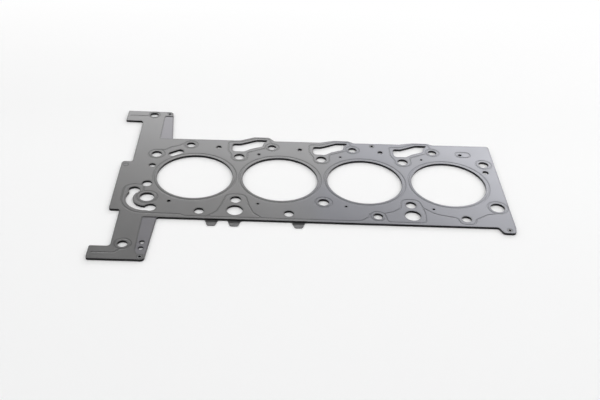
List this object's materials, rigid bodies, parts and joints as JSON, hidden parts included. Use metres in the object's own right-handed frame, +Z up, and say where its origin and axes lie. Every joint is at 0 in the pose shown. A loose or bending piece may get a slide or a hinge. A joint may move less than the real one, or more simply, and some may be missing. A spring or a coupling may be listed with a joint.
{
  "type": "cylinder head gasket",
  "caption": "Flat multi-layer steel cylinder head gasket with round cylinder openings, embossed sealing beads, bolt, oil and coolant holes, and hooked timing-cover arms.",
  "frame": {"origin": "centre of the head bolt pattern on the underside, the face that lies on the engine block, midway between the two middle cylinders", "axes": "+X along the row of cylinders, away from the timing end with its two cover arms; +Z up through the stack towards the cylinder head; +Y across the row of cylinders, towards the edge with the oil drain openings"},
  "size_m": [0.4619, 0.2996, 0.0025],
  "materials": {
    "coated_layer": "spring steel with a thin satin grey sealing coat",
    "carrier_steel": "rolled steel plate with stamped edges",
    "stopper_steel": "bare stainless foil",
    "rivet_steel": "pressed steel, slightly dull"
  },
  "bodies": {
    "root": {"upper_layer": "coated_layer", "carrier_layer": "carrier_steel", "lower_layer": "coated_layer", "stopper_ring_1": "stopper_steel", "stopper_ring_2": "stopper_steel", "stopper_ring_3": "stopper_steel", "stopper_ring_4": "stopper_steel", "rivet_rear_edge": "rivet_steel", "rivet_front_ear": "rivet_steel", "rivet_rear_arm": "rivet_steel", "rivet_front_arm": "rivet_steel", "rivet_timing_lobe": "rivet_steel"}
  },
  "joints": []
}
